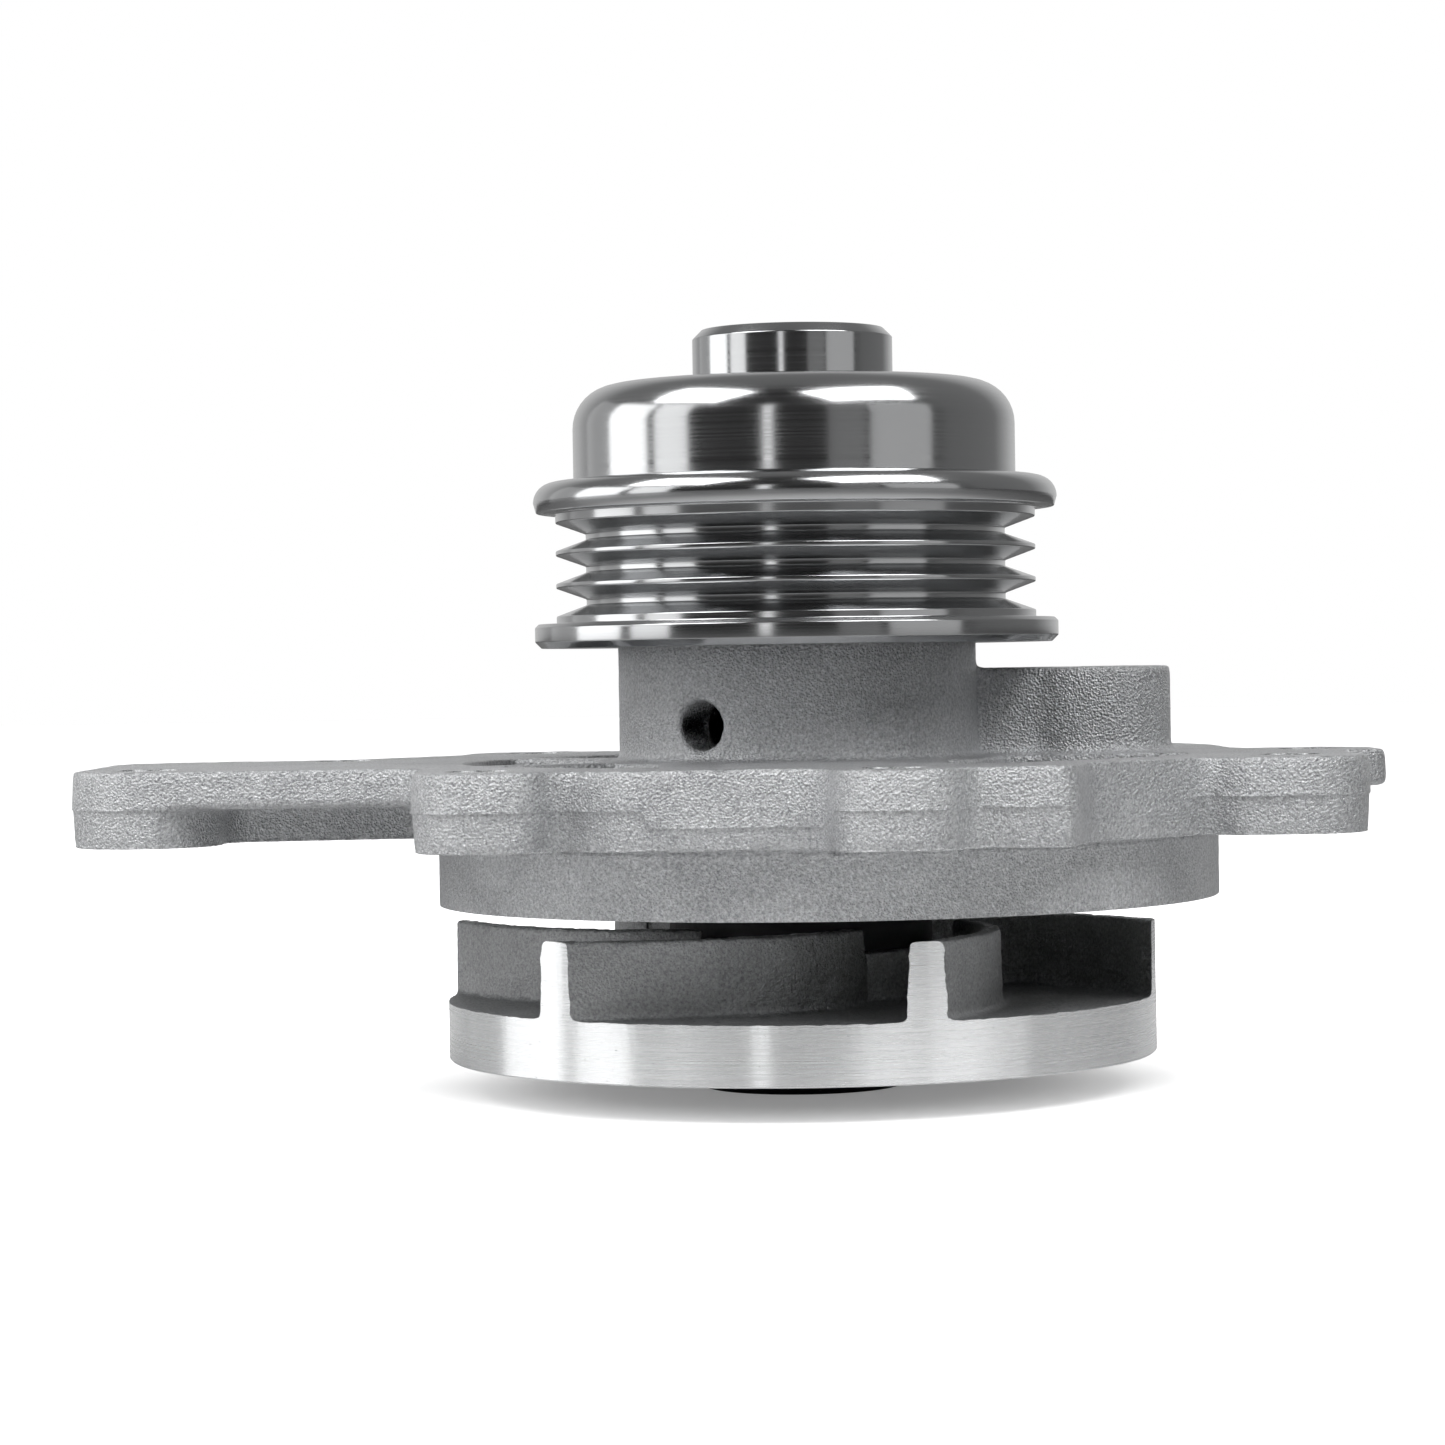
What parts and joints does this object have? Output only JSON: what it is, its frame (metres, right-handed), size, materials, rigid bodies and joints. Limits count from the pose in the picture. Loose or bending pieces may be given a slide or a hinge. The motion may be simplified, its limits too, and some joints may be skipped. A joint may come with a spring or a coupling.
{
  "type": "engine water pump",
  "caption": "Engine coolant pump: a cast cover with a bearing snout carries a ribbed belt pulley that drives a semi-open impeller through a face seal.",
  "frame": {"origin": "on the shaft axis, in the plane of the cover's mounting face", "axes": "+Z along the shaft to the pulley, -Z to the impeller; -X along the long arm of the cover; +Y away from the side with the weep hole"},
  "size_m": [0.1425, 0.1046, 0.0828],
  "materials": {
    "cast_alloy": "die-cast and shot-blasted, matt with a coarse bright grain",
    "turned_steel": "turned on a lathe, glossy with fine rings",
    "bearing_steel": "ground",
    "pressed_steel": "bright pressed sheet and wire",
    "impeller_alloy": "as cast, with the rim turned bright",
    "black_steel": "blackened, satin",
    "seal_rubber": "moulded, matt",
    "carbon": "pressed carbon, lapped on its face",
    "ceramic": "sintered white ceramic, lapped on its face",
    "cage_plastic": "moulded natural nylon"
  },
  "bodies": {
    "cover": {"pump_housing": "cast_alloy", "bearing_outer_ring": "bearing_steel", "bearing_seal_front": "seal_rubber", "bearing_seal_rear": "seal_rubber", "seal_case": "pressed_steel", "seal_spring": "pressed_steel", "seal_bellows": "seal_rubber"},
    "rotor": {"shaft": "bearing_steel", "pulley": "turned_steel", "slinger": "seal_rubber", "seal_sleeve": "pressed_steel", "seal_seat_cup": "seal_rubber", "seal_seat_ring": "ceramic", "impeller": "impeller_alloy", "impeller_insert": "black_steel"},
    "ball_set": {"bearing_balls": "bearing_steel", "ball_cage": "cage_plastic"},
    "roller_set": {"bearing_rollers": "bearing_steel", "roller_cage": "cage_plastic"},
    "seal_head": {"seal_spring_band": "pressed_steel", "seal_carbon_ring": "carbon"}
  },
  "joints": [
    {"name": "rotor_spin", "type": "hinge", "parent": "cover", "child": "rotor", "pos_m": [0, 0, 0], "axis": [0, 0, 1], "continuous": true},
    {"name": "ball_set_orbit", "type": "hinge", "parent": "cover", "child": "ball_set", "pos_m": [0, 0, 0], "axis": [0, 0, 1], "continuous": true},
    {"name": "roller_set_orbit", "type": "hinge", "parent": "cover", "child": "roller_set", "pos_m": [0, 0, 0], "axis": [0, 0, 1], "continuous": true},
    {"name": "seal_face_float", "type": "slide", "parent": "cover", "child": "seal_head", "axis": [0, 0, 1], "range_m": [0, 0.001], "stiffness_N_per_m": 2500, "springref_m": -0.012, "deforming": ["seal_spring", "seal_bellows"]}
  ],
  "couplings": [
    {"joint": "ball_set_orbit", "follows": "rotor_spin", "ratio": 0.3635},
    {"joint": "roller_set_orbit", "follows": "rotor_spin", "ratio": 0.3957}
  ]
}
